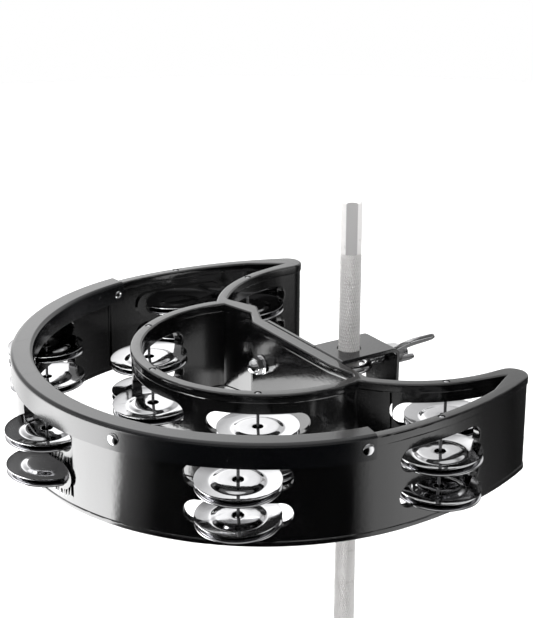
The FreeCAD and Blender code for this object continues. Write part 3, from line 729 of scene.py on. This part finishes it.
# ---------------------------------------------------------------- bracket
# Box bent from 2 mm sheet steel, open at both ends, with a foot flange that runs along the cross bar.
# Gloss black enamel; the rod passes through its top and bottom plates.
black_enamel = finish_of("black_enamel", (0.004, 0.004, 0.0045), (0.008, 0.008, 0.009),
                         0.0, 0.16, 0.08, grain=(700, 0.04), sizes=(40, 400), specular=1.0)
AGAINST_BAR, WEB, BOX_LOW, BOX_HIGH = 18.62, 55.0, 20.0, 50.0
BOX_LEFT, BOX_RIGHT, PLATE, SHEET_EDGE = 16, 42, 2, 0.35
FLANGE_LEFT, FLANGE_CORNER = -28, 3
SHANK_Z, SCREW_Z, SCREW_PLACES = 41.0, 29, (-19.2, 36.0)


def along_y(piece, x, z):
    """Lays a piece made about Z along +Y, at its screw's place."""
    return moved(piece, spin_about("X", -90), shift(x, 0, z))


def box_outline(inset):
    """Round the bent sheet seen from the side, outside it or a plate's thickness in."""
    near, far, low, high = AGAINST_BAR + inset, WEB - inset, BOX_LOW + inset, BOX_HIGH - inset
    bend, near_bend = 4.0 - inset, max(0.5, 1.6 - inset)
    corners = ((near + near_bend, low + near_bend, 180, near_bend),
               (far - bend, low + bend, 270, bend),
               (far - bend, high - bend, 0, bend),
               (near + near_bend, high - near_bend, 90, near_bend))
    return [point for y, z, start, bent in corners
            for point in arc((y, z), bent, start, start + 90, 15)]


box = plate("clamp_bracket", [box_outline(0), box_outline(PLATE)], BOX_LEFT, BOX_RIGHT, SHEET_EDGE)
moved(box, Matrix(((0, 0, 1, 0), (1, 0, 0, 0), (0, 1, 0, 0), (0, 0, 0, 1))))
round_end = FLANGE_LEFT + FLANGE_CORNER
flange = [(BOX_LEFT + PLATE, BOX_LOW), (BOX_LEFT + PLATE, BOX_HIGH)]
flange += arc((round_end, BOX_HIGH - FLANGE_CORNER), FLANGE_CORNER, 90, 180, 15)
flange += arc((round_end, BOX_LOW + FLANGE_CORNER), FLANGE_CORNER, 180, 270, 15)
flange = plate("flange", [flange], -20.6, -AGAINST_BAR, SHEET_EDGE)
moved(flange, spin_about("X", 90))
combined(box, flange, "UNION")
holes = [moved(round_bar(6.1, 15, 55, 48), shift(ROD_X, ROD_Y, 0)),
         along_y(round_bar(3.2, 50, 58, 32), ROD_X, SHANK_Z)]
holes += [along_y(round_bar(2.6, 16, 24, 32), x, SCREW_Z) for x in SCREW_PLACES]
for hole in holes:
    combined(box, hole, "DIFFERENCE")
smoothed(tidied(box), 35)
on_rod(box, black_enamel, "tambourine", "bracket_steel", "bracket")


# ---------------------------------------------------------------- bracket fasteners
# Two M5 pan-head screws pass through the flange and the bar. Each ends in a washer and a chromed
# acorn nut inside the loop, where the player's hand may meet it.
screws, washers, nuts = [], [], []
for x in SCREW_PLACES:
    section = [(0, 6.3), (2.1, 6.3), (2.5, 6.7), (2.5, 20.6), (4.6, 20.6), (4.6, 21.9),
               (4.3, 22.6), (3.6, 23.05), (2.4, 23.2), (0, 23.2)]
    screw = turned("screw", section, count=40)
    for wide, deep in ((4.6, 0.9), (0.9, 4.6)):
        bpy.ops.mesh.primitive_cube_add(size=1)
        cross = moved(bpy.context.object, Matrix.Diagonal((wide, deep, 3, 1)), shift(0, 0, 23.3))
        combined(screw, cross, "DIFFERENCE")
    screws.append(along_y(smoothed(tidied(screw), 35), x, SCREW_Z))
    section = [(2.6, 10.82), (5.0, 10.82), (5.2, 11.0), (5.2, 11.6), (5.0, 11.78), (2.6, 11.78)]
    washers.append(along_y(smoothed(turned("washer", section, count=48), 40), x, SCREW_Z))
    hexagon = arc((0, 0), 4.62, 0, 300, 60)
    nut = plate("nut", [hexagon], 6.8, 10.8, 0.3, 1)
    section = [(0, 10.0), (3.9, 10.0), (3.95, 6.6), (3.75, 6.2)]
    section += [(3.7 * math.cos(math.radians(t)), 6.2 + 0.3 - 3.6 * math.sin(math.radians(t)))
                for t in range(10, 90, 10)] + [(0, 2.9)]
    combined(nut, turned("dome", section, count=48), "UNION")
    combined(nut, round_bar(2.55, 5.8, 12, 32), "DIFFERENCE")
    nuts.append(along_y(smoothed(tidied(nut), 35), x, SCREW_Z))
on_rod(gathered("screws", screws), bright_plate, "tambourine", "hardware_chrome", "bracket_screws")
on_rod(gathered("washers", washers), bright_plate, "tambourine", "hardware_chrome", "bracket_washers")
on_rod(gathered("cap_nuts", nuts), bright_plate, "tambourine", "hardware_chrome", "acorn_nuts")


# ---------------------------------------------------------------- eyebolt
# Forged eye round the rod, on an M6 shank cut with a 1 mm thread. The wing nut draws it out through
# the bracket's web, and so the eye pulls the rod against the edges of its holes.
def threaded(radius, depth, start, stop, count=32):
    """A shank along Z with a screw thread of 1 mm pitch rolled in it."""
    cuts = round((stop - start) * 4)
    section = [(0, start), (radius - depth, start)]
    section += [(radius, start + 0.4 + (stop - start - 0.8) * k / cuts) for k in range(cuts + 1)]
    section += [(radius - depth, stop), (0, stop)]
    shank = turned("shank", section, count=count)
    for vertex in shank.data.vertices:
        if math.hypot(vertex.co.x, vertex.co.y) > radius - depth + 0.001:
            wave = (vertex.co.z - math.atan2(vertex.co.y, vertex.co.x) / math.tau) % 1
            scale = 1 - depth / radius * abs(2 * wave - 1)
            vertex.co.x *= scale
            vertex.co.y *= scale
    return shank


EYE_Y, EYE, EYE_WIRE = 33.8, 8.8, 2.2
bpy.ops.mesh.primitive_torus_add(major_radius=EYE, minor_radius=EYE_WIRE,
                                 major_segments=72, minor_segments=24, location=(0, 0, 0))
eye = moved(bpy.context.object, shift(ROD_X, EYE_Y, SHANK_Z))
eye.name = "eye_bolt"
shank = threaded(2.95, 0.55, EYE_Y + 12.5, 68.5)
combined(eye, along_y(shank, ROD_X, SHANK_Z), "UNION")
section = [(0, EYE_Y + EYE), (EYE_WIRE, EYE_Y + EYE), (2.45, EYE_Y + 10.6),
           (2.9, EYE_Y + 11.8), (2.9, EYE_Y + 12.8), (0, EYE_Y + 12.8)]
combined(eye, along_y(turned("neck", section, count=32), ROD_X, SHANK_Z), "UNION")
bore = moved(round_bar(6.6, SHANK_Z - 5, SHANK_Z + 5, 72), shift(ROD_X, EYE_Y, 0))
combined(eye, bore, "DIFFERENCE")
smoothed(tidied(eye), 35)
on_rod(eye, bright_plate, "eyebolt", "hardware_chrome", "eyebolt")


# ---------------------------------------------------------------- wing nut
# Cast and plated: a tapered hub with two flared wings, standing at 45 degrees when it is tight.
WING_Y, HUB, HALF_WING = 55.2, 8.0, 1.2
section = [(3.0, 0), (5.8, 0), (6.2, 0.4), (5.9, 2.8), (5.3, 7.4), (4.9, HUB), (3.4, HUB), (3.0, 7.6)]
hub = turned("wing_nut_cast", section, count=48)
outline = [(3.6, 1.2), (5.9, 1.2), (8.4, 2.9), (11.0, 5.0), (13.0, 7.6), (13.9, 10.4), (14.0, 15.0),
           (13.9, 22.6), (13.5, 24.2), (12.4, 25.0), (10.8, 24.9), (9.6, 24.1), (8.8, 21.0),
           (7.4, 13.0), (6.0, 9.4), (4.7, HUB), (3.6, HUB)]
for side in (-1, 1):
    wing = plate("wing", [[(side * x, y) for x, y in outline]], -HALF_WING, HALF_WING, 0.7)
    combined(hub, moved(wing, spin_about("X", 90)), "UNION")
smoothed(tidied(hub), 35)
moved(hub, spin_about("Z", -45), spin_about("X", -90), shift(ROD_X, WING_Y, SHANK_Z))
on_rod(hub, bright_plate, "wing_nut", "hardware_chrome", "wing_nut")
